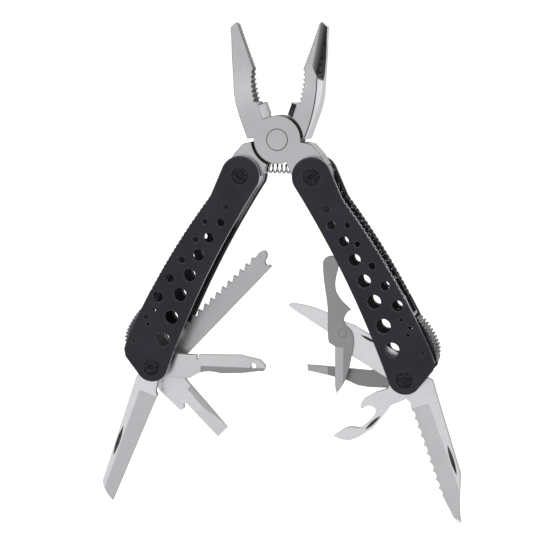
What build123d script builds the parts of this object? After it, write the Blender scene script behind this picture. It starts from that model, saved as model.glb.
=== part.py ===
from build123d import *
import math
import os

os.makedirs("parts", exist_ok=True)

# A folding multi tool: pliers with two handles, each handle holding four folding tools.
# Millimetres. Z points to the tips of the jaws, X to the right, and the front face looks to -Y.
# The origin is on the axis of the pliers, at the front face of the rivet.
# "Depth" below is the distance in front of the middle of the tool.

# ---------------------------------------------------------------- driving sizes
handle_length = 92.0        # top pivot to tool pivot
handle_half = 8.0           # half the thickness over both scales
scale_thickness = 2.0
liner_thickness = 0.8
cavity_half = handle_half - scale_thickness - liner_thickness

head_half = 4.8             # half the thickness of the head at the rivet
nose_half = 2.5             # half the thickness of the jaws at the nose
rivet_face = 4.9
rivet_head_r = 4.4
rivet_shaft_r = 3.2
disc_r = 10.0
disc_gap = 1.1
jaw_length = 51.4
half_opening = 20.0         # each jaw is turned this far from closed
halves_gap = 0.04

pivot_reach = 21.35         # rivet to each handle pivot
pivot_angle = 25.4          # from straight down, jaws closed
boss_r = 7.2
handle_angle = 25.5         # each handle from straight down, as the tool lies open

sleeve_r = 2.4              # sleeve nut that each tool and each tang turns on
running_gap = 0.06
screw_head_r = 3.6
screw_head_h = 1.2
screw_shaft_r = 1.5

tool_thickness = 2.2
washer_gap = 0.32
washer_thickness = 0.26
tang_r = 6.4

scissors_opened = 34.0
scissors_pivot = (1.85, 32.15)
scissors_plate = (tool_thickness - 0.06) / 2
scissors_rivet_r = 1.7

spring_coil_r = 1.8
spring_wire_r = 0.28
spring_pitch = 1.45
spring_half_length = 7.9
spring_height = -12.3

# ---------------------------------------------------------------- placing
bring_forward = Pos(0, rivet_face, 0)
front_jaw_place = bring_forward * Rot(0, -half_opening, 0)
rear_jaw_place = bring_forward * Rot(0, half_opening, 0)


def handle_place(side):
    """Where a handle's top pivot is and how the handle leans; side is -1 for left, +1 for right."""
    lean = math.radians(pivot_angle + half_opening)
    x = side * pivot_reach * math.sin(lean)
    z = -pivot_reach * math.cos(lean)
    return bring_forward * Pos(x, 0, z) * Rot(0, -side * handle_angle, 0)


def tool_place(side, opened):
    """A tool turned this many degrees out of its handle, about the handle's tool pivot."""
    return handle_place(side) * Pos(0, 0, -handle_length) * Rot(0, -side * opened, 0)


def layer_front(layer):
    """Depth of the front face of a tool's layer, counted from the front of the handle."""
    return cavity_half - washer_gap - layer * (tool_thickness + washer_gap)


def save(shape, label, place=Location()):
    placed = place * shape
    placed.label = label
    export_step(placed, f"parts/{label}.step")


# ---------------------------------------------------------------- head
jaw_outer_edge = [(-11.9, 14.3), (-11.6, 21.2), (-9.6, 29.6), (-7.0, 39.1), (-3.45, 50.2)]
tooth_count = 7
nose_groove_count = 15
grip_bottom = 17.5
grip_top = 30.8
grip_depth = 2.85
hollow_r = 5.0
hollow_depth = 1.3


def grip_x(z):
    """The hollow of the pipe grip, a shallow arc."""
    t = (z - grip_bottom) / (grip_top - grip_bottom)
    return -0.05 - grip_depth * math.sin(math.pi * min(1.0, 0.5 + 0.5 * t)) ** 0.8


def jaw_inner_edge():
    """Points down the inside of the jaw: fine nose grooves, then the teeth of the pipe grip."""
    points = [(-0.6, jaw_length)]
    pitch = (jaw_length - 1.0 - grip_top) / nose_groove_count
    for i in range(nose_groove_count):
        z = jaw_length - 1.0 - i * pitch
        points += [(-0.05, z), (-0.05, z - 0.5 * pitch), (-0.35, z - 0.75 * pitch)]
    pitch = (grip_top - grip_bottom) / tooth_count
    for i in range(tooth_count):
        z = grip_top - i * pitch
        points += [(grip_x(z), z), (grip_x(z) - 1.1, z - 0.35 * pitch),
                   (grip_x(z) - 1.1, z - 0.7 * pitch)]
    return points + [(grip_x(grip_bottom), grip_bottom), (-2.6, 16.6), (-0.05, 16.4)]


def nose_hollow():
    """Cutter for the scoop along the outer edge of the nose, on the side away from the disc."""
    low = Vector(-8.7, hollow_r + nose_half - hollow_depth, 33.0)
    high = Vector(-4.2, hollow_r + nose_half - hollow_depth + 0.3, 53.0)
    run = high - low
    with BuildPart() as scoop:
        with Locations(Pos(low)):
            Sphere(hollow_r)
        with Locations(Plane(origin=low + run * 0.5, z_dir=run).location):
            Cylinder(hollow_r, run.length)
    return scoop.part


def plier_half():
    """One half of the pliers with the jaws closed: jaw to the left, disc in front, tang to the right."""
    lean = math.radians(pivot_angle)
    boss = (pivot_reach * math.sin(lean), -pivot_reach * math.cos(lean))
    with BuildPart() as half:
        with BuildSketch(Plane.XZ.offset(-head_half)):
            with BuildLine():
                Line((-9.0, 3.8), (-11.85, 4.65))
                Line((-11.85, 4.65), jaw_outer_edge[0])
                Spline(*jaw_outer_edge, tangents=[(0, 1), (0.28, 1)])
                Line(jaw_outer_edge[-1], (-0.6, jaw_length))
                Polyline(*jaw_inner_edge(), (-0.05, 8.6), (-9.0, 3.8))
            make_face()
            with BuildLine():
                Polyline((0.6, -8), (0.6, -15.5), (2.9, -18.0), boss, (16.3, -17.0), (15.3, -12.0),
                         (13.1, -6.7), (10.7, -5.1), (8.6, -4.0), close=True)
            make_face()
            with Locations(boss):
                Circle(boss_r)
        extrude(amount=2 * head_half)
        # the rear half is hollowed for the other half's disc, the front half carries its own
        with BuildSketch(Plane.XZ.offset(-head_half)):
            Circle(disc_r + disc_gap)
        extrude(amount=head_half + halves_gap, mode=Mode.SUBTRACT)
        with BuildSketch(Plane.XZ.offset(halves_gap)):
            Circle(disc_r)
        extrude(amount=head_half - halves_gap)
        # seen from the side, the jaw thins from the head to the nose
        with BuildSketch(Plane.YZ):
            with BuildLine():
                for side in (-1, 1):
                    Line((side * head_half, -40), (side * head_half, 11))
                    Spline((side * head_half, 11), (side * nose_half, 31),
                           (side * (nose_half - 0.3), 60), tangents=[(0, 1), (0, 1)])
                Line((-head_half, -40), (head_half, -40))
                Line((0.3 - nose_half, 60), (nose_half - 0.3, 60))
            make_face()
        extrude(amount=30, both=True, mode=Mode.INTERSECT)
        add(nose_hollow(), mode=Mode.SUBTRACT)
        # bevel that leads to the cutting edge, on the front and on the back
        for turn in (0, 1):
            with BuildSketch(Plane.XY.offset(10.0)):
                front = -head_half if turn == 0 else head_half
                Polygon((-3.0, front), (0.5, front), (0.5, front * 0.25), align=None)
            extrude(amount=6.3, mode=Mode.SUBTRACT)
        # rivet bore with a seat for its head, and the bore for the handle pivot
        with BuildSketch(Plane.XZ.offset(-head_half)):
            Circle(rivet_shaft_r + running_gap)
            with Locations(boss):
                Circle(sleeve_r + running_gap)
        extrude(amount=2 * head_half, mode=Mode.SUBTRACT)
        with BuildSketch(Plane.XZ.offset(rivet_face - 1.4)):
            Circle(rivet_head_r + running_gap)
        extrude(amount=1.4, mode=Mode.SUBTRACT)
        # pocket for the end of the return spring, level when the jaws stand open
        with Locations(Rot(0, half_opening, 0) * Pos(6.3, 0, spring_height) * Rot(0, 90, 0)):
            Cylinder(spring_coil_r + 0.6, 4.4, mode=Mode.SUBTRACT)
    return half.part


half = plier_half()
save(half, "front_jaw", front_jaw_place)
save(Rot(0, 0, 180) * half, "rear_jaw", rear_jaw_place)

with BuildPart() as pliers_rivet:
    with BuildSketch(Plane.XZ.offset(-rivet_face)):
        Circle(rivet_head_r)
    extrude(amount=1.3)
    with BuildSketch(Plane.XZ.offset(-rivet_face)):
        Circle(rivet_shaft_r)
    extrude(amount=2 * rivet_face)
    with BuildSketch(Plane.XZ.offset(rivet_face - 1.3)):
        Circle(rivet_head_r)
    extrude(amount=1.3)
save(pliers_rivet.part, "pliers_rivet", bring_forward)

with BuildPart() as return_spring:
    with BuildLine():
        coil = Helix(spring_pitch, 2 * spring_half_length, spring_coil_r,
                     center=(-spring_half_length, 0, spring_height), direction=(1, 0, 0))
    with BuildSketch(Plane(origin=coil @ 0, z_dir=coil % 0)):
        Circle(spring_wire_r)
    sweep()
save(return_spring.part, "return_spring", bring_forward)

# ---------------------------------------------------------------- handles
main_row_along = [21.4, 29.6, 38.4, 48.0, 57.5, 68.2, 78.6]
main_row_out = [-0.9, 0.95, 1.9, 1.8, 2.0, 1.25, 0.45]
main_row_r = [1.9, 2.3, 2.6, 2.85, 3.0, 3.15, 3.1]
edge_row_along = [24.2, 33.0, 43.6, 53.2, 62.8, 68.7, 73.0, 75.6]
edge_row_out = [5.3, 5.8, 7.6, 9.0, 10.2, 9.35, 11.5, 9.2]
edge_row_r = [1.2, 1.3, 1.65, 2.05, 2.35, 0.75, 0.95, 0.75]
rivet_along = 14.5          # small rivet that holds each scale to its liner
rivet_r = 1.6
lock_pin_at = (11.6, 85.1)  # out, along
lock_pin_r = 1.1
jimp_count = 23
jimp_r = 0.6


outer_arc = [(7.9, -13.0), (12.9, -44.0), (14.9, -86.0)]


def handle_outline():
    """A handle plate, its top pivot at the origin and its outer side to +X."""
    with BuildSketch() as outline:
        with BuildLine():
            Line((8.3, 0), outer_arc[0])
            ThreePointArc(*outer_arc)
            Polyline(outer_arc[-1], (14.4, -90.4), (12.4, -93.2), (3.4, -97.7))
            ThreePointArc((3.4, -97.7), (-3.5, -97.2), (-6.6, -90.0))
            ThreePointArc((-6.6, -90.0), (-4.95, -47.0), (-8.3, 0))
            ThreePointArc((-8.3, 0), (0, 8.3), (8.3, 0))
        make_face()
    return outline.sketch


def plate_holes(wider=0.0):
    """Both rows of lightening holes, the pivots, the small rivet and the lock pin."""
    with BuildSketch() as holes:
        for along, out, r in zip(main_row_along, main_row_out, main_row_r):
            with Locations((out, -along)):
                Circle(r + wider)
        for along, out, r in zip(edge_row_along, edge_row_out, edge_row_r):
            with Locations((out, -along)):
                Circle(r + wider)
        with Locations((0, 0), (0, -handle_length)):
            Circle(sleeve_r + running_gap)
        with Locations((0, -rivet_along)):
            Circle(rivet_r)
        with Locations((lock_pin_at[0], -lock_pin_at[1])):
            Circle(lock_pin_r + 0.02)
    return holes.sketch


def scale(bottom, top):
    """Black cover plate between two depths, its outer face at the larger one from the middle."""
    outside = top if top > 0 else bottom
    bevelled = 0.4 if top > 0 else -0.4
    with BuildLine() as outer:
        ThreePointArc(*outer_arc)
    with BuildPart() as plate:
        with BuildSketch(Plane.XZ.offset(bottom if top > 0 else top)):
            add(handle_outline())
        extrude(amount=outside - bevelled - (bottom if top > 0 else top))
        with BuildSketch(Plane.XZ.offset(outside - bevelled)):
            add(handle_outline())
        extrude(amount=bevelled, taper=45)
        with BuildSketch(Plane.XZ.offset(bottom)):
            add(plate_holes())
            for i in range(jimp_count):
                spot = outer.line @ (0.03 + i * 0.0285)
                with Locations((spot.X + 0.3, spot.Y)):
                    Circle(jimp_r)
        extrude(amount=top - bottom, mode=Mode.SUBTRACT)
        seat = screw_head_h + 0.05
        with BuildSketch(Plane.XZ.offset(outside - seat if top > 0 else outside)):
            with Locations((0, 0), (0, -handle_length)):
                Circle(screw_head_r + 0.08)
        extrude(amount=seat, mode=Mode.SUBTRACT)
    return plate.part


def liner(bottom):
    """Steel plate inside a scale, a little smaller than the scale."""
    with BuildPart() as plate:
        with BuildSketch(Plane.XZ.offset(bottom)):
            add(handle_outline())
            offset(amount=-0.6, mode=Mode.REPLACE)
        extrude(amount=liner_thickness)
        with BuildSketch(Plane.XZ.offset(bottom)):
            add(plate_holes(0.15))
        extrude(amount=liner_thickness, mode=Mode.SUBTRACT)
    return plate.part


def pivot_screw():
    """Front half of a pivot: a flush head with a hexagon socket, and its shaft."""
    with BuildPart() as screw:
        with BuildSketch(Plane.XZ.offset(handle_half - screw_head_h)):
            Circle(screw_head_r)
        extrude(amount=screw_head_h)
        chamfer(screw.edges().group_by(Axis.Y)[0], 0.3)
        with BuildSketch(Plane.XZ.offset(-handle_half + 1.5)):
            Circle(screw_shaft_r)
        extrude(amount=2 * handle_half - screw_head_h - 1.5)
        with BuildSketch(Plane.XZ.offset(handle_half - 0.9)):
            RegularPolygon(1.35, 6)
        extrude(amount=0.9, mode=Mode.SUBTRACT)
    return screw.part


def pivot_nut():
    """Rear half of a pivot: a flush head and the sleeve everything turns on."""
    with BuildPart() as nut:
        with BuildSketch(Plane.XZ.offset(-handle_half)):
            Circle(screw_head_r)
        extrude(amount=screw_head_h)
        chamfer(nut.edges().group_by(Axis.Y)[-1], 0.3)
        with BuildSketch(Plane.XZ.offset(-handle_half)):
            Circle(sleeve_r)
        extrude(amount=2 * handle_half - screw_head_h - 0.1)
        with BuildSketch(Plane.XZ.offset(-handle_half + 1.2)):
            Circle(screw_shaft_r + 0.05)
        extrude(amount=2 * handle_half, mode=Mode.SUBTRACT)
    return nut.part


def washers(outer_r, depths, thickness):
    with BuildPart() as rings:
        for depth in depths:
            with BuildSketch(Plane.XZ.offset(depth)):
                Circle(outer_r)
                Circle(sleeve_r + 0.03, mode=Mode.SUBTRACT)
            extrude(amount=thickness)
    return rings.part


def tool_washers():
    spare = (washer_gap - washer_thickness) / 2
    return washers(4.4, [layer_front(k) + spare for k in range(5)], washer_thickness)


def pivot_washers():
    thickness = cavity_half - head_half - 0.06
    return washers(5.6, [head_half + 0.03, -cavity_half + 0.03], thickness)


def scale_rivets():
    length = handle_half - cavity_half - 0.25
    with BuildPart() as rivets:
        for bottom in (cavity_half + 0.05, -cavity_half - 0.05 - length):
            with BuildSketch(Plane.XZ.offset(bottom)):
                with Locations((0, -rivet_along)):
                    Circle(rivet_r - 0.03)
            extrude(amount=length)
    return rivets.part


# the lock stays behind the layer where the thumb lever of the scissors swings
lock_front = layer_front(0) - scissors_plate - 0.1


def lock_lever():
    """Release lever between the scales, ribbed where the thumb presses it."""
    ribs = 11
    with BuildPart() as lever:
        with BuildSketch(Plane.XZ.offset(-cavity_half + 0.15)):
            with BuildLine():
                Spline((14.6, -70.8), (16.7, -75.0), (17.6, -81.0), (17.1, -86.6), (14.9, -90.8),
                       tangents=[(1, -0.6), (-0.6, -1)])
                Polyline((14.9, -90.8), (11.8, -91.4), (9.6, -87.0), (9.6, -82.0), (12.3, -77.0),
                         (12.9, -72.0), (14.6, -70.8))
            make_face()
            for i in range(ribs):
                along = 72.6 + 1.65 * i
                crest = 17.65 - 0.02 * (along - 81.5) ** 2
                with Locations(Location((crest, -along), -(along - 81.5) * 2.2)):
                    Rectangle(1.9, 0.75, mode=Mode.SUBTRACT)
            with Locations((lock_pin_at[0], -lock_pin_at[1])):
                Circle(lock_pin_r + 0.05, mode=Mode.SUBTRACT)
        extrude(amount=lock_front + cavity_half - 0.15)
    return lever.part


def lock_pin():
    """A long pin from the back for the lever, and a stub in the front plates."""
    stub = handle_half - cavity_half - 0.1
    with BuildPart() as pin:
        for bottom, length in ((-handle_half + 0.15, handle_half - 0.15 + lock_front),
                               (cavity_half - 0.05, stub)):
            with BuildSketch(Plane.XZ.offset(bottom)):
                with Locations((lock_pin_at[0], -lock_pin_at[1])):
                    Circle(lock_pin_r)
            extrude(amount=length)
    return pin.part


def lock_spring():
    """Two flat steel arms joined by a bridge that bears on the end of the lever."""
    with BuildPart() as spring:
        for bottom in (lock_front - 0.7, -cavity_half + 0.05):
            with BuildSketch(Plane.XZ.offset(bottom)):
                Polygon((11.6, -53), (12.9, -53), (13.9, -61), (14.3, -69.6), (12.4, -69.6),
                        (12.4, -61), align=None)
            extrude(amount=0.7)
        with BuildSketch(Plane.XZ.offset(-cavity_half + 0.05)):
            Polygon((12.4, -68.6), (14.2, -68.6), (14.3, -69.6), (12.4, -69.6), align=None)
        extrude(amount=lock_front + cavity_half - 0.05)
    return spring.part


handle_pieces = {
    "front_scale": scale(handle_half - scale_thickness, handle_half),
    "back_scale": scale(-handle_half, scale_thickness - handle_half),
    "front_liner": liner(cavity_half),
    "back_liner": liner(-cavity_half - liner_thickness),
    "handle_screw": pivot_screw(),
    "handle_nut": pivot_nut(),
    "handle_washers": pivot_washers(),
    "tool_screw": Pos(0, 0, -handle_length) * pivot_screw(),
    "tool_nut": Pos(0, 0, -handle_length) * pivot_nut(),
    "tool_washers": Pos(0, 0, -handle_length) * tool_washers(),
    "scale_rivets": scale_rivets(),
    "lock_lever": lock_lever(),
    "lock_pin": lock_pin(),
    "lock_spring": lock_spring(),
}
for name, piece in handle_pieces.items():
    save(piece, "right_" + name, handle_place(1))
    save(mirror(piece, about=Plane.YZ), "left_" + name, handle_place(-1))


# ---------------------------------------------------------------- folding tools
# Each tool is drawn folded: its pivot at the origin, its point towards +Z.
def layer_disc(front, r):
    """A disc as thick as the layer, on the pivot."""
    with BuildPart() as disc:
        with BuildSketch(Plane.XZ.offset(front - tool_thickness)):
            Circle(r)
        extrude(amount=tool_thickness)
    return disc.part


def grind(front, thickness, start_x, edge_x, z0, z1, left):
    """Wedges that bevel both faces from start_x to a thin edge at edge_x; left is what remains."""
    cut = (thickness - left) / 2
    with BuildPart() as wedges:
        with BuildSketch(Plane.XY.offset(z0)):
            Polygon((start_x, -front), (edge_x, -front), (edge_x, -front + cut), align=None)
            Polygon((start_x, -front + thickness), (edge_x, -front + thickness),
                    (edge_x, -front + thickness - cut), align=None)
        extrude(amount=z1 - z0)
    return wedges.part


def nail_nick(front, start, end, width, deep=0.35):
    """Cutter for a shallow lens-shaped nick in the front face, for a fingernail."""
    run = Vector(end[0] - start[0], end[1] - start[1])
    middle = Vector((start[0] + end[0]) / 2, (start[1] + end[1]) / 2)
    across = Vector(-run.Y, run.X).normalized() * width / 2
    with BuildPart() as slot:
        with BuildSketch(Plane.XZ.offset(front - deep)):
            with BuildLine():
                ThreePointArc(start, middle + across, end)
                ThreePointArc(end, middle - across, start)
            make_face()
        extrude(amount=deep)
    return slot.part


def side_bevel(front, start_x, edge_x, deep, z0, z1):
    """Wedge that lowers the front face from start_x towards the edge."""
    with BuildPart() as wedge:
        with BuildSketch(Plane.XY.offset(z0)):
            Polygon((start_x, -front), (edge_x, -front), (edge_x, -front + deep), align=None)
        extrude(amount=z1 - z0)
    return wedge.part


def taper_end(front, z0, z1, left):
    """Wedges that thin both faces of a driver towards its tip."""
    cut = (tool_thickness - left) / 2
    with BuildPart() as wedges:
        with BuildSketch(Plane.YZ):
            Polygon((-front, z0), (-front - 1, z1), (-front + cut, z1), align=None)
            Polygon((-front + tool_thickness, z0), (-front + tool_thickness + 1, z1),
                    (-front + tool_thickness - cut, z1), align=None)
        extrude(amount=12, both=True)
    return wedges.part


# left handle, from the front: knife, reamer, flat driver, saw
front = layer_front(0)
with BuildPart() as knife:
    with BuildSketch(Plane.XZ.offset(front - tool_thickness)):
        with BuildLine():
            Polyline((-3.0, 0.0), (-4.8, 10.3), (-5.9, 11.5), (-3.0, 64.0))
            ThreePointArc((-3.0, 64.0), (1.0, 61.5), (4.1, 57.7))
            Polyline((4.1, 57.7), (5.6, 7.3), (4.0, 0.0), (-3.0, 0.0))
        make_face()
    extrude(amount=tool_thickness)
    add(layer_disc(front, tang_r))
    add(layer_disc(front, sleeve_r + running_gap), mode=Mode.SUBTRACT)
    add(grind(front, tool_thickness, 2.2, -6.7, 12.4, 65, 0.3), mode=Mode.SUBTRACT)
    add(nail_nick(front, (3.6, 30.4), (3.4, 44.6), 1.5), mode=Mode.SUBTRACT)
save(knife.part, "knife", tool_place(-1, 175.0))

front = layer_front(1)
with BuildPart() as reamer:
    with BuildSketch(Plane.XZ.offset(front - tool_thickness)):
        with BuildLine():
            Polyline((5.1, 1.9), (5.3, 15.2), (3.0, 19.1))
            Spline((3.0, 19.1), (2.1, 22.9), (2.7, 29.4), tangents=[(-0.4, 1), (0.2, 1)])
            Polyline((2.7, 29.4), (2.2, 38.5), (0.9, 46.5))
            ThreePointArc((0.9, 46.5), (-0.2, 48.9), (-2.0, 48.6))
            Polyline((-2.0, 48.6), (-4.0, 46.4), (-5.7, 38.0), (-5.1, 14.9), (-5.7, 1.9), (5.1, 1.9))
        make_face()
        with Locations((-4.3, 19.1)):
            Rectangle(2.2, 0.9, mode=Mode.SUBTRACT)
        with Locations((-1.2, 43.8)):
            Circle(1.25, mode=Mode.SUBTRACT)
    extrude(amount=tool_thickness)
    add(layer_disc(front, tang_r))
    add(layer_disc(front, sleeve_r + running_gap), mode=Mode.SUBTRACT)
    add(grind(front, tool_thickness, -0.4, 3.2, 20.5, 50, 0.5), mode=Mode.SUBTRACT)
save(reamer.part, "reamer", tool_place(-1, 64.0))

front = layer_front(2)
with BuildPart() as flat_driver:
    with BuildSketch(Plane.XZ.offset(front - tool_thickness)):
        with BuildLine():
            Polyline((-5.9, 1.0), (-5.2, 15.5), (-5.6, 40.8), (0.5, 41.1), (1.4, 21.3), (2.7, 20.7),
                     (3.9, 22.2), (5.1, 22.2), (5.8, 21.3), (7.1, 9.4), (4.6, 1.0), (-5.9, 1.0))
        make_face()
    extrude(amount=tool_thickness)
    add(layer_disc(front, tang_r))
    add(layer_disc(front, sleeve_r + running_gap), mode=Mode.SUBTRACT)
    add(taper_end(front, 27.0, 41.5, 0.9), mode=Mode.SUBTRACT)
    add(side_bevel(front, -3.1, -6.2, 0.6, 17.0, 42.0), mode=Mode.SUBTRACT)
save(flat_driver.part, "flat_driver", tool_place(-1, 112.5))

front = layer_front(3)
saw_teeth = 13
with BuildPart() as saw:
    with BuildSketch(Plane.XZ.offset(front - tool_thickness)):
        pitch = 3.67
        cut = []
        for i in range(saw_teeth):
            lean = 0.06 * i
            root = 15.7 + i * pitch
            cut += [(-2.75 - lean, root), (-4.9 - lean, root + pitch - 0.55)]
        with BuildLine():
            Polyline((-4.9, 1.5), (-4.6, 14.1), *cut, (-4.0, 64.2))
            Spline((-4.0, 64.2), (-4.9, 67.2), (-3.9, 69.2), (-1.3, 68.0), (-0.4, 66.0), (1.1, 65.6),
                   (1.6, 66.6))
            Polyline((1.6, 66.6), (3.0, 66.7), (3.0, 65.5), (5.6, 13.1), (5.5, 1.5), (-4.9, 1.5))
        make_face()
    extrude(amount=tool_thickness)
    add(layer_disc(front, tang_r))
    add(layer_disc(front, sleeve_r + running_gap), mode=Mode.SUBTRACT)
save(saw.part, "saw", tool_place(-1, 21.0))

# right handle, from the front: scissors, bottle opener, cross driver, serrated knife
front = layer_front(0)
with BuildPart() as scissors_body:
    with BuildSketch(Plane.XZ.offset(front - tool_thickness)):
        with BuildLine():
            Spline((-0.8, 57.9), (1.7, 55.3), (5.0, 44.9), (6.7, 31.8), (7.4, 20.6),
                   tangents=[(1, -0.2), (0, -1)])
            Polyline((7.4, 20.6), (7.2, 8.0), (4.5, 1.0), (-4.4, 1.0), (-4.4, 7.6), (-4.5, 23.6),
                     (-1.5, 31.6), (-1.2, 44.8), (-1.1, 54.7), (-0.8, 57.9))
        make_face()
        with Locations(scissors_pivot):
            Circle(scissors_rivet_r + 0.03, mode=Mode.SUBTRACT)
    extrude(amount=scissors_plate)
    # the root keeps the full thickness of the layer
    add(layer_disc(front, tang_r))
    add(layer_disc(front, sleeve_r + running_gap), mode=Mode.SUBTRACT)
    add(nail_nick(front - (tool_thickness - scissors_plate), (5.2, 25.2), (5.8, 18.2), 1.1),
        mode=Mode.SUBTRACT)
save(scissors_body.part, "scissors_body", tool_place(1, scissors_opened))

# the moving blade and its thumb lever, drawn as they stand in the open tool
lever_place = bring_forward * Pos((tool_place(1, scissors_opened) * Pos(
    scissors_pivot[0], 0, scissors_pivot[1])).position - Vector(0, rivet_face, 0))
with BuildPart() as scissors_lever:
    with BuildSketch(Plane.XZ.offset(front - scissors_plate)):
        with BuildLine():
            Polyline((-3.2, -5.6), (-3.1, -22.6), (-2.4, -25.8))
            Spline((-2.4, -25.8), (0.7, -21.1), (3.8, -9.9), (4.6, -3.1), (3.4, 1.1), (0.6, 4.2),
                   (0.7, 6.6), (1.8, 8.6), (3.5, 10.0), tangents=[(0.8, 1), (1, 0.5)])
            Spline((3.5, 10.0), (-0.7, 14.0), (-2.9, 17.7), (-2.85, 23.8), (-1.7, 29.5),
                   tangents=[(-0.6, 0.6), (0.1, 1)])
            ThreePointArc((-1.7, 29.5), (-4.8, 32.4), (-8.4, 29.3))
            Spline((-8.4, 29.3), (-7.5, 18.8), (-6.4, 11.0), (-6.2, 0.3), (-5.7, -4.2),
                   tangents=[(0, -1), (0.3, -1)])
            Line((-5.7, -4.2), (-3.2, -5.6))
        make_face()
        Circle(scissors_rivet_r + 0.03, mode=Mode.SUBTRACT)
    extrude(amount=scissors_plate)
    add(side_bevel(front, 0.4, -3.5, 0.45, -26.5, -5.9), mode=Mode.SUBTRACT)
save(scissors_lever.part, "scissors_lever", lever_place)

with BuildPart() as scissors_rivet:
    with BuildSketch(Plane.XZ.offset(front - tool_thickness)):
        Circle(scissors_rivet_r)
    extrude(amount=tool_thickness)
save(scissors_rivet.part, "scissors_rivet", lever_place)

front = layer_front(1)
with BuildPart() as bottle_opener:
    with BuildSketch(Plane.XZ.offset(front - tool_thickness)):
        with BuildLine():
            Polyline((4.1, 1.9), (1.5, 9.4), (3.5, 14.3), (4.1, 17.2))
            Spline((4.1, 17.2), (4.5, 21.0), (3.6, 22.9), (2.1, 23.6),
                   tangents=[(0.1, 1), (-1, 0)])
            Spline((2.1, 23.6), (1.5, 20.8), (-1.0, 19.1), (-3.3, 21.0),
                   tangents=[(-0.2, -1), (-0.5, 1)])
            ThreePointArc((-3.3, 21.0), (-3.9, 25.2), (-3.7, 29.6))
            Spline((-3.7, 29.6), (-1.1, 32.1), (1.1, 40.7), tangents=[(0.6, 0.8), (0.1, 1)])
            Spline((1.1, 40.7), (-1.9, 39.3), (-4.7, 36.4), (-6.6, 28.5), (-5.4, 16.2),
                   tangents=[(-1, -0.2), (0.2, -1)])
            Polyline((-5.4, 16.2), (-4.6, 13.2), (-6.7, 6.7), (-5.1, 2.0), (4.1, 1.9))
        make_face()
    extrude(amount=tool_thickness)
    add(layer_disc(front, tang_r))
    add(layer_disc(front, sleeve_r + running_gap), mode=Mode.SUBTRACT)
    add(nail_nick(front, (-5.2, 19.6), (-5.5, 28.4), 1.2), mode=Mode.SUBTRACT)
save(bottle_opener.part, "bottle_opener", tool_place(1, 107.0))

front = layer_front(2)
with BuildPart() as cross_driver:
    with BuildSketch(Plane.XZ.offset(front - tool_thickness)):
        with BuildLine():
            Polyline((-5.4, 1.0), (-5.2, 16.9), (-4.5, 21.3), (-2.4, 26.2), (-0.6, 34.0),
                     (0.9, 42.7), (3.5, 42.9), (1.7, 15.8),
                     (4.5, 8.0), (5.2, 1.0), (-5.4, 1.0))
        make_face()
    extrude(amount=tool_thickness)
    add(layer_disc(front, tang_r))
    add(layer_disc(front, sleeve_r + running_gap), mode=Mode.SUBTRACT)
    add(taper_end(front, 34.0, 43.0, 0.8), mode=Mode.SUBTRACT)
save(cross_driver.part, "cross_driver", tool_place(1, 65.5))

front = layer_front(3)
scallop_count = 11
with BuildPart() as serrated_knife:
    with BuildSketch(Plane.XZ.offset(front - tool_thickness)):
        with BuildLine():
            Polyline((3.0, 0.0), (4.2, 9.9), (3.0, 11.5), (3.7, 13.8), (3.9, 50.2), (1.8, 63.9),
                     (-0.4, 66.0))
            Spline((-0.4, 66.0), (-3.3, 56.1), (-7.1, 46.3), tangents=[(-0.2, -1), (-0.3, -1)])
            Polyline((-7.1, 46.3), (-8.5, 13.3), (-9.0, 5.1), (-5.0, 1.6), (3.0, 0.0))
        make_face()
        for i in range(scallop_count):
            with Locations((5.05, 16.7 + 3.91 * i)):
                Circle(2.1, mode=Mode.SUBTRACT)
    extrude(amount=tool_thickness)
    add(layer_disc(front, tang_r))
    add(layer_disc(front, sleeve_r + running_gap), mode=Mode.SUBTRACT)
    add(grind(front, tool_thickness, -4.3, 4.7, 14.3, 68, 0.3), mode=Mode.SUBTRACT)
    add(nail_nick(front, (-5.9, 33.2), (-5.4, 46.4), 1.5), mode=Mode.SUBTRACT)
save(serrated_knife.part, "serrated_knife", tool_place(1, 174.4))
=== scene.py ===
import math
import bmesh
import bpy
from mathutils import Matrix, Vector


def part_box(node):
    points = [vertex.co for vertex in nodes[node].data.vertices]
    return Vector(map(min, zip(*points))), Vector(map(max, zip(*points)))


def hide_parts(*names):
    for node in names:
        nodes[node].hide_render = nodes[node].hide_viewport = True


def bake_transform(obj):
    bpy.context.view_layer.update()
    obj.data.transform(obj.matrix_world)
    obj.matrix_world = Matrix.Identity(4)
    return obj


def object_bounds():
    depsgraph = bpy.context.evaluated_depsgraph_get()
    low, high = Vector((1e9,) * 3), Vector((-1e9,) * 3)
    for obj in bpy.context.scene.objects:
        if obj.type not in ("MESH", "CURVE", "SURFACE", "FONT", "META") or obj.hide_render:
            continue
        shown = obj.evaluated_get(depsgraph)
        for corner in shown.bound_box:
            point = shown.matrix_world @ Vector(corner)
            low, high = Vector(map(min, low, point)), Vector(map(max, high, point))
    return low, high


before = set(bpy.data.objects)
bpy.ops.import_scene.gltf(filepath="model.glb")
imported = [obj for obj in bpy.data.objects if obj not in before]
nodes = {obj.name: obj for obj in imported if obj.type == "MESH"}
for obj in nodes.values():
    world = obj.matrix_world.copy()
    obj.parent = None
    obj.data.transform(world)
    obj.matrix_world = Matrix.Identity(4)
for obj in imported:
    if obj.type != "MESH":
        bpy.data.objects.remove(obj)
cad_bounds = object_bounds()
scene = bpy.context.scene

MM = 0.001
STEEL_TINT = (1.0, 1.0, 1.02)
HANDLE_PIVOT = (0.01520, -0.01499)      # right handle's pivot, x and z; the left one mirrors it
lean = math.radians(25.5)               # each handle's lean outwards
HALF_OPENING = math.radians(20)         # each jaw's turn from shut

# ------------------------------------------------------------------ finishes


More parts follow.
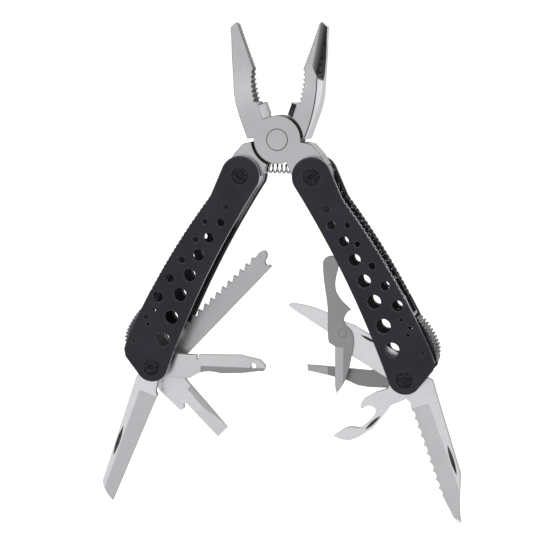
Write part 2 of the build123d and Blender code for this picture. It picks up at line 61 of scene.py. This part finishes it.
def new_material(name):
    material = bpy.data.materials.new(name)
    material.use_nodes = True
    tree = material.node_tree
    tree.nodes.clear()
    out = tree.nodes.new("ShaderNodeOutputMaterial")
    shader = tree.nodes.new("ShaderNodeBsdfPrincipled")
    tree.links.new(shader.outputs[0], out.inputs["Surface"])
    return material, tree, shader


def add_noise(tree, scale, detail=3.0, stretch=(1, 1, 1), turn=0.0):
    """Noise in the piece's own frame, turned about Y and stretched; scale is per metre."""
    coord = tree.nodes.new("ShaderNodeTexCoord")
    spin = tree.nodes.new("ShaderNodeMapping")
    spin.inputs["Rotation"].default_value = (0, turn, 0)
    mapping = tree.nodes.new("ShaderNodeMapping")
    mapping.inputs["Scale"].default_value = stretch
    noise = tree.nodes.new("ShaderNodeTexNoise")
    noise.inputs["Scale"].default_value = scale
    noise.inputs["Detail"].default_value = detail
    noise.inputs["Roughness"].default_value = 0.5
    tree.links.new(coord.outputs["Object"], spin.inputs["Vector"])
    tree.links.new(spin.outputs[0], mapping.inputs["Vector"])
    tree.links.new(mapping.outputs[0], noise.inputs["Vector"])
    return noise.outputs["Fac"]


def ramp(tree, source, low, high, out_low, out_high):
    node = tree.nodes.new("ShaderNodeMapRange")
    node.inputs["From Min"].default_value = low
    node.inputs["From Max"].default_value = high
    node.inputs["To Min"].default_value = out_low
    node.inputs["To Max"].default_value = out_high
    tree.links.new(source, node.inputs["Value"])
    return node.outputs[0]


def mix_colours(tree, factor, a, b):
    """Mixes a towards b; a is a colour or the socket that gives one."""
    node = tree.nodes.new("ShaderNodeMix")
    node.data_type = "RGBA"
    tree.links.new(factor, node.inputs["Factor"])
    if isinstance(a, tuple):
        node.inputs["A"].default_value = (*a, 1)
    else:
        tree.links.new(a, node.inputs["A"])
    node.inputs["B"].default_value = (*b, 1)
    return node.outputs["Result"]


def combine(tree, operation, a, b):
    """A maths node on two values, each a number or a socket."""
    node = tree.nodes.new("ShaderNodeMath")
    node.operation = operation
    for value, socket in ((a, node.inputs[0]), (b, node.inputs[1])):
        if isinstance(value, (int, float)):
            socket.default_value = value
        else:
            tree.links.new(value, socket)
    return node.outputs[0]


def add_bump(tree, shader, height, distance):
    node = tree.nodes.new("ShaderNodeBump")
    node.inputs["Distance"].default_value = distance
    tree.links.new(height, node.inputs["Height"])
    tree.links.new(node.outputs[0], shader.inputs["Normal"])


def edge_mask(tree, radius):
    """1 close to a sharp edge of the piece, 0 on its faces."""
    rounded = tree.nodes.new("ShaderNodeBevel")
    rounded.samples = 6
    rounded.inputs["Radius"].default_value = radius
    plain = tree.nodes.new("ShaderNodeNewGeometry")
    dot = tree.nodes.new("ShaderNodeVectorMath")
    dot.operation = "DOT_PRODUCT"
    tree.links.new(rounded.outputs[0], dot.inputs[0])
    tree.links.new(plain.outputs["Normal"], dot.inputs[1])
    return ramp(tree, dot.outputs["Value"], 0.90, 0.995, 1, 0)


def paint_edge_shade_and_highlight(tree, shader, colour, radius, share):
    """Mixes a share of an edge colour into whatever feeds the base colour: a dark colour is painted shade along the
    sharp edges, a light one a painted highlight.
    """
    source = shader.inputs["Base Color"].links[0].from_socket
    weight = combine(tree, "MULTIPLY", edge_mask(tree, radius), share)
    tree.links.new(mix_colours(tree, weight, source, colour), shader.inputs["Base Color"])


def steel(name, grey, rough, turn=0.0, grain=0.06, edge=None):
    """Ground steel: fine streaks along the grain and faint blotches; edge is (grey, radius, share) of a painted dark
    line of shade along the sharp edges.
    """
    material, tree, shader = new_material(name)
    streaks = add_noise(tree, 900, 4.0, (8, 1, 0.25), turn)
    blotch = add_noise(tree, 90, 3.0)
    dark = tuple(max(0.0, grey * (1 - grain * 1.6)) * t for t in STEEL_TINT)
    light = tuple(min(1.0, grey * (1 + grain)) * t for t in STEEL_TINT)
    factor = tree.nodes.new("ShaderNodeMath")
    factor.operation = "MULTIPLY_ADD"
    tree.links.new(ramp(tree, blotch, 0.3, 0.7, -0.25, 0.25), factor.inputs[0])
    factor.inputs[1].default_value = 1.0
    tree.links.new(ramp(tree, streaks, 0.3, 0.7, 0.1, 0.9), factor.inputs[2])
    tree.links.new(mix_colours(tree, factor.outputs[0], dark, light), shader.inputs["Base Color"])
    tree.links.new(ramp(tree, streaks, 0.3, 0.7, rough - 0.07, rough + 0.07), shader.inputs["Roughness"])
    shader.inputs["Metallic"].default_value = 1.0
    # painted shade: a dark line mixed in along the sharp edges
    if edge is not None:
        paint_edge_shade_and_highlight(tree, shader, (edge[0],) * 3, edge[1], edge[2])
    add_bump(tree, shader, streaks, 0.000006)
    return material


def jaw_distance(tree, coord, across, up, offset):
    """across * (towards the bite) + up * (up the jaw) - offset in the right jaw's frame, in millimetres."""
    node = tree.nodes.new("ShaderNodeVectorMath")
    node.operation = "DOT_PRODUCT"
    c, s = math.cos(HALF_OPENING), math.sin(HALF_OPENING)
    node.inputs[1].default_value = Vector((up * s - across * c, 0, across * s + up * c)) * 1000
    tree.links.new(coord.outputs["Object"], node.inputs[0])
    less = tree.nodes.new("ShaderNodeMath")
    less.operation = "SUBTRACT"
    less.inputs[1].default_value = offset
    tree.links.new(node.outputs["Value"], less.inputs[0])
    return less.outputs[0]


def paint_nose_shade(material):
    """Right jaw, front face: painted shade where the ground nose falls away from the light, a painted dark line down
    beside the outer edge, and a painted highlight on the strip between that line and the outer edge.
    """
    tree = material.node_tree
    shader = next(n for n in tree.nodes if n.type == "BSDF_PRINCIPLED")
    source = shader.inputs["Base Color"].links[0].from_socket
    coord = tree.nodes.new("ShaderNodeTexCoord")
    # left border of the painted shade, its slanted lower end, and how dark it is across
    up = jaw_distance(tree, coord, 0, 1, 0)
    inside = jaw_distance(tree, coord, -1, 0.157, 0.157 * 52.4 + 0.1)
    below = jaw_distance(tree, coord, -1.014, 1, 36.19)
    end = combine(tree, "MULTIPLY", ramp(tree, below, -0.1, 0.5, 0, 1), ramp(tree, up, 28.9, 29.7, 0, 1))
    across = combine(tree, "ADD", ramp(tree, inside, -0.15, 0.2, 0, 0.58), ramp(tree, inside, 0.2, 1.9, 0, 0.36))
    shade = combine(tree, "MULTIPLY", across, end)
    # the painted dark line: towards the bite = -10.06 - 0.153 up + 0.00909 up^2
    bite = jaw_distance(tree, coord, 1, 0, 0)
    curve = combine(tree, "MULTIPLY", up, combine(tree, "SUBTRACT", combine(tree, "MULTIPLY", up, 0.00909), 0.153))
    off = combine(tree, "SUBTRACT", combine(tree, "SUBTRACT", bite, curve), -10.06)
    line = ramp(tree, combine(tree, "ABSOLUTE", off, 0), 0.12, 0.34, 1, 0)
    line = combine(tree, "MULTIPLY", line, ramp(tree, up, 29.4, 30.4, 1, 0))
    # painted highlight: between the line and the outer edge the face is painted near white
    outside = combine(tree, "MULTIPLY", ramp(tree, off, -0.3, -0.1, 1, 0), ramp(tree, up, 29.4, 30.4, 1, 0))
    lit = mix_colours(tree, outside, source, (0.92, 0.92, 0.94))
    # painted shade and the painted dark line take the face to near black
    dark = mix_colours(tree, combine(tree, "MAXIMUM", shade, line), lit,
                            (0.045, 0.045, 0.048))
    tree.links.new(dark, shader.inputs["Base Color"])
    return material


def black_anodised(name):
    """Bead-blasted aluminium, dyed black with a slight violet cast, with a painted highlight along its sharp edges."""
    material, tree, shader = new_material(name)
    grit = add_noise(tree, 5200, 2.0)
    cloud = add_noise(tree, 60, 3.0)
    tree.links.new(mix_colours(tree, ramp(tree, cloud, 0.3, 0.7, 0, 1),
                               (0.0150, 0.0135, 0.0200), (0.0230, 0.0205, 0.0300)), shader.inputs["Base Color"])
    tree.links.new(ramp(tree, grit, 0.3, 0.7, 0.42, 0.56), shader.inputs["Roughness"])
    # painted highlight: light grey mixed in along the sharp edges, where the chamfers catch the light
    paint_edge_shade_and_highlight(tree, shader, (0.34, 0.33, 0.36), 0.00016, 0.7)
    shader.inputs["Metallic"].default_value = 0.35
    shader.inputs["Specular IOR Level"].default_value = 0.4
    add_bump(tree, shader, grit, 0.000022)
    return material


def black_steel(name, dark, light, rough, edge=None):
    material, tree, shader = new_material(name)
    grit = add_noise(tree, 2600, 3.0)
    wear = add_noise(tree, 700, 5.0)
    tree.links.new(mix_colours(tree, ramp(tree, wear, 0.45, 0.75, 0, 1), dark, light),
                   shader.inputs["Base Color"])
    tree.links.new(ramp(tree, grit, 0.3, 0.7, rough - 0.07, rough + 0.08), shader.inputs["Roughness"])
    shader.inputs["Metallic"].default_value = 0.9
    # edge is (grey, radius, share) of a line along the sharp edges; a light grey is a painted highlight
    if edge is not None:
        paint_edge_shade_and_highlight(tree, shader, (edge[0],) * 3, edge[1], edge[2])
    add_bump(tree, shader, grit, 0.00001)
    return material


def liner_steel(name, side):
    """Liner plate: the broad faces are blackened, and stay bright only behind the head of the left handle."""
    material, tree, shader = new_material(name)
    streaks = add_noise(tree, 1500, 4.0, (6, 1, 0.4), side * lean)
    coord = tree.nodes.new("ShaderNodeTexCoord")
    along = tree.nodes.new("ShaderNodeVectorMath")
    along.operation = "DOT_PRODUCT"
    along.inputs[1].default_value = (side * math.sin(lean), 0, -math.cos(lean))
    tree.links.new(coord.outputs["Object"], along.inputs[0])
    reach = ramp(tree, along.outputs["Value"], 0.033, 0.044, 0, 1)
    worn = ramp(tree, along.outputs["Value"], 0.094, 0.098, 1, 0)
    bright = mix_colours(tree, streaks, (0.50, 0.50, 0.51), (0.66, 0.66, 0.68))
    tree.links.new(mix_colours(tree, combine(tree, "MULTIPLY", reach, worn), bright, (0.022, 0.021, 0.026)),
                   shader.inputs["Base Color"])
    tree.links.new(ramp(tree, streaks, 0.3, 0.7, 0.3, 0.45), shader.inputs["Roughness"])
    shader.inputs["Metallic"].default_value = 0.85
    add_bump(tree, shader, streaks, 0.000008)
    return material


def knurled_liner(name, side, dark, light, rough):
    """Blackened plate with a band of fine bright punch marks."""
    material, tree, shader = new_material(name)
    coord = tree.nodes.new("ShaderNodeTexCoord")
    spin = tree.nodes.new("ShaderNodeMapping")
    spin.inputs["Rotation"].default_value = (0, side * lean, 0)
    spin.inputs["Scale"].default_value = (1, 0.001, 1)
    cells = tree.nodes.new("ShaderNodeTexVoronoi")
    cells.inputs["Scale"].default_value = 900
    cells.inputs["Randomness"].default_value = 0.55
    tree.links.new(coord.outputs["Object"], spin.inputs["Vector"])
    tree.links.new(spin.outputs[0], cells.inputs["Vector"])
    marks = ramp(tree, cells.outputs["Distance"], 0.24, 0.38, 1, 0)
    wear = ramp(tree, add_noise(tree, 900, 4.0), 0.38, 0.52, 0, 1)
    outer = tree.nodes.new("ShaderNodeVectorMath")
    outer.operation = "DOT_PRODUCT"
    out_way = Vector((side * math.cos(lean), 0, math.sin(lean)))
    along_way = Vector((side * math.sin(lean), 0, -math.cos(lean)))
    way = out_way - 0.085 * along_way
    outer.inputs[1].default_value = way
    tree.links.new(coord.outputs["Object"], outer.inputs[0])
    start = way.dot(Vector((side * HANDLE_PIVOT[0], 0, HANDLE_PIVOT[1]))) + 0.0016
    band = ramp(tree, outer.outputs["Value"], start, start + 0.0004, 0, 1)
    banded = combine(tree, "MULTIPLY", combine(tree, "MULTIPLY", marks, wear), band)
    tree.links.new(mix_colours(tree, banded, dark, light), shader.inputs["Base Color"])
    tree.links.new(ramp(tree, cells.outputs["Distance"], 0, 0.5, rough - 0.1, rough + 0.1),
                   shader.inputs["Roughness"])
    shader.inputs["Metallic"].default_value = 0.8
    add_bump(tree, shader, cells.outputs["Distance"], 0.00004)
    return material


slots = {
    "black_anodised": black_anodised("black anodised aluminium"),
    # satin steel carries a painted dark line of shade along its sharp edges
    "satin_steel": steel("satin steel", 0.66, 0.38, 0.0, 0.04, edge=(0.04, 0.00055, 1.0)),
    "bright_steel": steel("bright steel", 0.80, 0.26, 0.5),
    "spring_steel": steel("spring steel", 0.70, 0.24, 0.2),
    # dark steel carries painted highlights along the edges of its ribs
    "dark_steel": black_steel("dark steel", (0.05, 0.048, 0.054), (0.14, 0.138, 0.146), 0.30,
                              edge=(0.95, 0.00035, 1.0)),
    "black_screw": black_steel("black screw", (0.020, 0.019, 0.024), (0.06, 0.058, 0.066), 0.36),
    "washer_brass": black_steel("brass", (0.45, 0.33, 0.14), (0.62, 0.47, 0.22), 0.32),
}
left_liner = liner_steel("left liner", -1)
knurled = {side: knurled_liner(label + " blackened steel", side, (0.018, 0.017, 0.021), (0.95, 0.94, 0.95), 0.40)
           for side, label in ((-1, "left"), (1, "right"))}
blackened = black_steel("blackened steel", (0.018, 0.017, 0.021), (0.05, 0.049, 0.055), 0.40)
bare_edge = steel("bare edge", 0.52, 0.34, 0.0)
rim_steel = steel("rim steel", 0.42, 0.36, 0.3)
# painted shade: a near black copy of the jaw steel for facets, bevels and the gap round the pivot
painted_shade_facet = black_steel("facet with painted shade", (0.030, 0.030, 0.032), (0.11, 0.11, 0.112), 0.38)
# mid grey steel: painted shade on the jaws' nose faces, and painted glints on the walls of the screw recesses
painted_shade_and_glint_steel = steel("steel with painted shade and glints", 0.34, 0.34, 0.0)
# painted highlight: a lighter copy of the jaw steel for lit side faces, with a painted dark edge line
painted_highlight_steel = steel("steel with painted highlight", 0.92, 0.34, 0.0, 0.04, edge=(0.04, 0.00060, 1.0))
nose_painted_shade_steel = paint_nose_shade(steel("nose steel with painted shade", 0.66, 0.38, 0.0, 0.04, edge=(0.04, 0.00055, 1.0)))
nick_dark = black_steel("nick shadow", (0.05, 0.05, 0.052), (0.16, 0.16, 0.163), 0.4)

# (flat faces, ground faces, sides), roughness, direction of the grain; the three greys are one steel, with painted
# light and painted shade by face direction
blade_looks = {
    "knife": (0.96, 0.76, 0.50, 0.32, 205),
    "reamer": (0.80, 0.56, 0.55, 0.28, 90),
    "flat_driver": (0.88, 0.62, 0.50, 0.30, 140),
    "saw": (0.62, 0.66, 0.34, 0.36, 45),
    "scissors_body": (0.95, 0.95, 0.45, 0.32, 60),
    "scissors_lever": (0.40, 0.58, 0.28, 0.36, 0),
    "bottle_opener": (0.98, 0.80, 0.42, 0.30, 120),
    "cross_driver": (0.33, 0.52, 0.22, 0.34, 80),
    "serrated_knife": (0.98, 0.76, 0.50, 0.30, 160),
}


def paint(obj, choose, *materials):
    """Gives each face the material that choose(normal, centre) picks from the list."""
    mesh = obj.data
    mesh.materials.clear()
    for material in materials:
        mesh.materials.append(material)
    mesh.polygons.foreach_set("material_index", [choose(p.normal, p.center) for p in mesh.polygons])


def soften(obj, width, segments=2, angle=30):
    """Small broken edges on a CAD piece."""
    weld = obj.modifiers.new("weld", "WELD")
    weld.merge_threshold = 0.000002
    bevel = obj.modifiers.new("edges", "BEVEL")
    bevel.width = width
    bevel.segments = segments
    bevel.limit_method = "ANGLE"
    bevel.angle_limit = math.radians(angle)
    bevel.harden_normals = True
    bevel.use_clamp_overlap = True


def blade_face(front, nick, flat_above):
    def choose(normal, centre):
        if abs(normal.y) < 0.5:
            return 2
        if abs(normal.y) < flat_above:
            return 1
        inside = front + nick[0] * MM < centre.y < front + nick[1] * MM
        return 3 if normal.y < 0 and inside else 0
    return choose


for name, (flat, ground, sides, rough, turn) in blade_looks.items():
    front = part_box(name)[0].y
    nick = {"scissors_body": (1.3, 1.7), "flat_driver": (9, 9)}.get(name, (0.05, 0.8))
    label = name.replace("_", " ")
    turn = math.radians(turn)
    flat_above = 0.99 if name == "flat_driver" else 0.99995
    # flat, ground and side faces get lighter and darker greys of one steel as painted light and shade, the edges a
    # painted dark line, the nail nicks a painted shadow
    paint(nodes[name], blade_face(front, nick, flat_above),
          steel(label + " steel", flat, rough, turn, 0.05, edge=(flat * 0.25, 0.00030, 0.8)),
          steel(label + " ground", ground, rough - 0.04, turn + math.pi / 2, 0.05,
                edge=(ground * 0.3, 0.00026, 0.7)),
          steel(label + " sides", sides, rough, turn, 0.08), nick_dark)

def jaw_local(vector, side):
    """(towards the bite, up the jaw) of a vector in a jaw's own frame; side is -1 for the left jaw."""
    x = -side * vector.x
    return (x * math.cos(HALF_OPENING) + vector.z * math.sin(HALF_OPENING),
            -x * math.sin(HALF_OPENING) + vector.z * math.cos(HALF_OPENING))


# jaw faces by direction: 0 satin steel, 1 painted shade on facets, bevels and the gap arc, 2 painted shade on the nose,
# 3 painted highlight on side faces, 4 the front face with painted shade
def jaw_face(side):
    def choose(normal, centre):
        bite, up = (v * 1000 for v in jaw_local(centre, side))
        into, rise = jaw_local(normal, side)
        tilted = 0.15 < abs(normal.y) < 0.985 and normal.y < 0
        if side > 0 and tilted and (up > 24 or 9 < up < 17.5):
            return 1
        if side < 0 and tilted and 9 < up < 17.5:
            return 3
        if abs(normal.y) > 0.5:
            return 4 if side > 0 and normal.y < 0 and up > 5 and bite < 2 else 0
        if 9.7 < math.hypot(centre.x, centre.z) * 1000 < 11.4:
            return 1
        if 17 < up < 31.5 and bite > -4.9 and (into > 0.9 or rise < -0.5):
            return 1
        if up > 31.5 and into > 0.3:
            return 2
        return 3 if side > 0 and into < -0.3 else 0
    return choose


for name, side in (("front_jaw", -1), ("rear_jaw", 1)):
    obj = nodes[name]
    paint(obj, jaw_face(side), slots["satin_steel"], painted_shade_facet, painted_shade_and_glint_steel, painted_highlight_steel, nose_painted_shade_steel)


def handle_local(point, side):
    """(out, along) of a point in a handle's own frame, in millimetres."""
    dx = (point.x - side * HANDLE_PIVOT[0]) * side
    dz = HANDLE_PIVOT[1] - point.z
    return ((dx * math.cos(lean) - dz * math.sin(lean)) * 1000,
            (dx * math.sin(lean) + dz * math.cos(lean)) * 1000)


def on_rim(normal, centre, side):
    """True on the outline of a handle plate, false in its holes and on its faces."""
    if abs(normal.y) > 0.5:
        return False
    out, along = handle_local(centre, side)
    if along < 8 or along > 93:
        return math.hypot(out, along) > 6 and not (math.hypot(out, along - 92) < 4.5)
    facing = side * normal.x * math.cos(lean) + normal.z * math.sin(lean)
    if facing > 0.5:
        return out > 7.9 + (along - 13) * 0.085 - 0.8
    return facing < -0.5 and out < -4.2


def piece_look(name):
    if "scale_rivets" in name or "lock_pin" in name:
        return (slots["black_screw"],)
    if name.endswith("scale"):
        return (slots["black_anodised"], bare_edge)
    if name.endswith("liner"):
        return (left_liner if name.startswith("left_back") else knurled[-1 if name.startswith("left") else 1],
                rim_steel)
    if name.endswith(("screw", "nut")):
        return (slots["black_screw"], painted_shade_and_glint_steel)
    if name.endswith("lock_spring"):
        return (blackened, slots["bright_steel"])
    if "washers" in name:
        return (slots["washer_brass"],)
    if name.endswith("lock_lever"):
        return (slots["dark_steel"],)
    if "spring" in name:
        return (slots["spring_steel"],)
    if name == "scissors_rivet":
        return (nodes["scissors_lever"].data.materials[0],)
    return (slots["satin_steel"],)


edge_widths = {"scale": 0.00012, "liner": 0.00005, "rivet": 0.0001, "screw": 0.0001}
for name, obj in nodes.items():
    if name in blade_looks or name.endswith("_jaw"):
        continue
    looks = piece_look(name)
    side = -1 if name.startswith("left") else 1
    if name.endswith("lock_spring"):
        paint(obj, lambda normal, centre: 1 if abs(normal.y) < 0.5 else 0, *looks)
    elif name.endswith(("screw", "nut")):
        # painted glint: the walls of the screw recess get the mid grey steel
        middle = (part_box(name)[0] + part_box(name)[1]) / 2
        paint(obj, lambda normal, centre: 1 if abs(normal.y) < 0.5 and math.hypot(
            centre.x - middle.x, centre.z - middle.z) < 0.0019 and (
            centre.y < -0.0018 or centre.y > 0.0116) else 0, *looks)
    else:
        paint(obj, lambda normal, centre: 1 if len(looks) > 1 and on_rim(normal, centre, side) else 0, *looks)
    if name != "return_spring":
        soften(obj, next((w for k, w in edge_widths.items() if name.endswith(k)), 0.0001))


# ------------------------------------------------------------------ return spring


def coil_point(t, turns, radius, start, end):
    """A point on the coil, with the last turn at each end closed up."""
    closed = 0.9 / turns
    if t < closed:
        reach = 0.35 * t
    elif t > 1 - closed:
        reach = 1 - 0.35 * (1 - t)
    else:
        edge = 0.35 * closed
        reach = edge + (1 - 2 * edge) * (t - closed) / (1 - 2 * closed)
    angle = 2 * math.pi * turns * t
    centre = start.lerp(end, reach)
    return centre + Vector((0, math.cos(angle), math.sin(angle))) * radius


def tube_mesh(name, points, radius, sides=10):
    mesh = bpy.data.meshes.new(name)
    bm = bmesh.new()
    rings = []
    for i, point in enumerate(points):
        ahead = (points[min(i + 1, len(points) - 1)] - points[max(i - 1, 0)]).normalized()
        across = ahead.cross(Vector((1, 0, 0.01))).normalized()
        up = ahead.cross(across)
        ring = [bm.verts.new(point + (across * math.cos(a) + up * math.sin(a)) * radius)
                for a in (2 * math.pi * k / sides for k in range(sides))]
        rings.append(ring)
    for one, two in zip(rings, rings[1:]):
        for k in range(sides):
            bm.faces.new((one[k], one[(k + 1) % sides], two[(k + 1) % sides], two[k]))
    bm.faces.new(rings[0])
    bm.faces.new(rings[-1])
    bmesh.ops.recalc_face_normals(bm, faces=bm.faces)
    for face in bm.faces:
        face.smooth = len(face.verts) == 4
    bm.to_mesh(mesh)
    bm.free()
    obj = bpy.data.objects.new(name, mesh)
    scene.collection.objects.link(obj)
    return obj


spring_low, spring_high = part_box("return_spring")
spring_mid = (spring_low + spring_high) / 2
spring_ends = (Vector((spring_low.x + 0.0004, spring_mid.y, spring_mid.z)),
               Vector((spring_high.x - 0.0004, spring_mid.y, spring_mid.z)))
wire_r = 0.00040
coil_r = (spring_high.z - spring_low.z) / 2 - wire_r
turns = 9.5
steps = int(turns * 28)
coil = tube_mesh("return_spring_wire",
                 [coil_point(i / steps, turns, coil_r, *spring_ends) for i in range(steps + 1)], wire_r)
coil.data.materials.append(slots["spring_steel"])
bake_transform(coil)
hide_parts("return_spring")

# ------------------------------------------------------------------ stage
low, high = cad_bounds
floor_mesh = bpy.data.meshes.new("floor")
floor_z = low[2] - 0.0006
size = 6.0
floor_mesh.from_pydata([(-size, -size, floor_z), (size, -size, floor_z), (size, size, floor_z), (-size, size, floor_z)],
                       [], [(0, 1, 2, 3)])
floor = bpy.data.objects.new("floor", floor_mesh)
scene.collection.objects.link(floor)
material, tree, shader = new_material("pale floor")
cloud = add_noise(tree, 3.0, 2.0)
tree.links.new(mix_colours(tree, cloud, (0.91, 0.91, 0.91), (0.94, 0.94, 0.94)), shader.inputs["Base Color"])
shader.inputs["Roughness"].default_value = 0.9
shader.inputs["Specular IOR Level"].default_value = 0.1
floor_mesh.materials.append(material)
floor.visible_glossy = False

# seen directly the world is white; what the metal mirrors is a grey studio with a soft box overhead
world = bpy.data.worlds.new("studio")
scene.world = world
world.use_nodes = True
tree = world.node_tree
tree.nodes.clear()
out = tree.nodes.new("ShaderNodeOutputWorld")
plain = tree.nodes.new("ShaderNodeBackground")
plain.inputs["Color"].default_value = (1, 1, 1, 1)
plain.inputs["Strength"].default_value = 1.05
room = tree.nodes.new("ShaderNodeBackground")
room.inputs["Strength"].default_value = 1.0
coord = tree.nodes.new("ShaderNodeTexCoord")
split = tree.nodes.new("ShaderNodeSeparateXYZ")
tree.links.new(coord.outputs["Generated"], split.inputs[0])
height = ramp(tree, split.outputs["Z"], -0.6, 0.6, 0, 1)
tone = tree.nodes.new("ShaderNodeValToRGB")
tones = ((0.0, 0.50), (0.38, 0.84), (0.50, 0.80), (0.62, 0.50), (0.80, 0.95), (1.0, 1.15))
for i, (place, grey) in enumerate(tones):
    stop = tone.color_ramp.elements[i] if i < 2 else tone.color_ramp.elements.new(place)
    stop.position = place
    stop.color = (grey, grey, grey * 1.01, 1)
tree.links.new(height, tone.inputs[0])
side = tree.nodes.new("ShaderNodeMix")
side.data_type = "RGBA"
side.blend_type = "MULTIPLY"
side.inputs["Factor"].default_value = 1.0
tree.links.new(tone.outputs[0], side.inputs["A"])
tree.links.new(mix_colours(tree, ramp(tree, split.outputs["X"], -0.9, 0.9, 0, 1),
                           (1.12, 1.12, 1.12), (0.62, 0.62, 0.62)), side.inputs["B"])
tree.links.new(side.outputs["Result"], room.inputs["Color"])
mix = tree.nodes.new("ShaderNodeMixShader")
path = tree.nodes.new("ShaderNodeLightPath")
tree.links.new(path.outputs["Is Camera Ray"], mix.inputs[0])
tree.links.new(room.outputs[0], mix.inputs[1])
tree.links.new(plain.outputs[0], mix.inputs[2])
tree.links.new(mix.outputs[0], out.inputs["Surface"])


def sun(name, place, strength, spread):
    data = bpy.data.lights.new(name, "SUN")
    data.energy = strength
    data.angle = math.radians(spread)
    light = bpy.data.objects.new(name, data)
    light.location = place
    light.rotation_euler = (-Vector(place)).to_track_quat("-Z", "Y").to_euler()
    scene.collection.objects.link(light)
    return light


sun("key", (-0.5, -0.35, 1.0), 1.5, 50)
sun("fill", (0.5, -0.2, 0.9), 0.5, 60)

# ------------------------------------------------------------------ camera
azimuth, elevation = math.radians(13.63), math.radians(7.8)
target = Vector((0, 0.0049, -0.052))
toward = Vector((math.sin(azimuth) * math.cos(elevation), -math.cos(azimuth) * math.cos(elevation),
                 math.sin(elevation)))
camera_data = bpy.data.cameras.new("camera")
camera_data.sensor_width = 36
camera_data.lens = 99.15
camera_data.shift_x = 0.0005
camera_data.shift_y = -0.0309
camera_data.clip_start = 0.01
camera = bpy.data.objects.new("camera", camera_data)
camera.location = target + toward * 0.65
camera.rotation_euler = (-toward).to_track_quat("-Z", "Y").to_euler()
scene.collection.objects.link(camera)
scene.camera = camera
scene.view_settings.view_transform = "Standard"

bpy.context.view_layer.update()
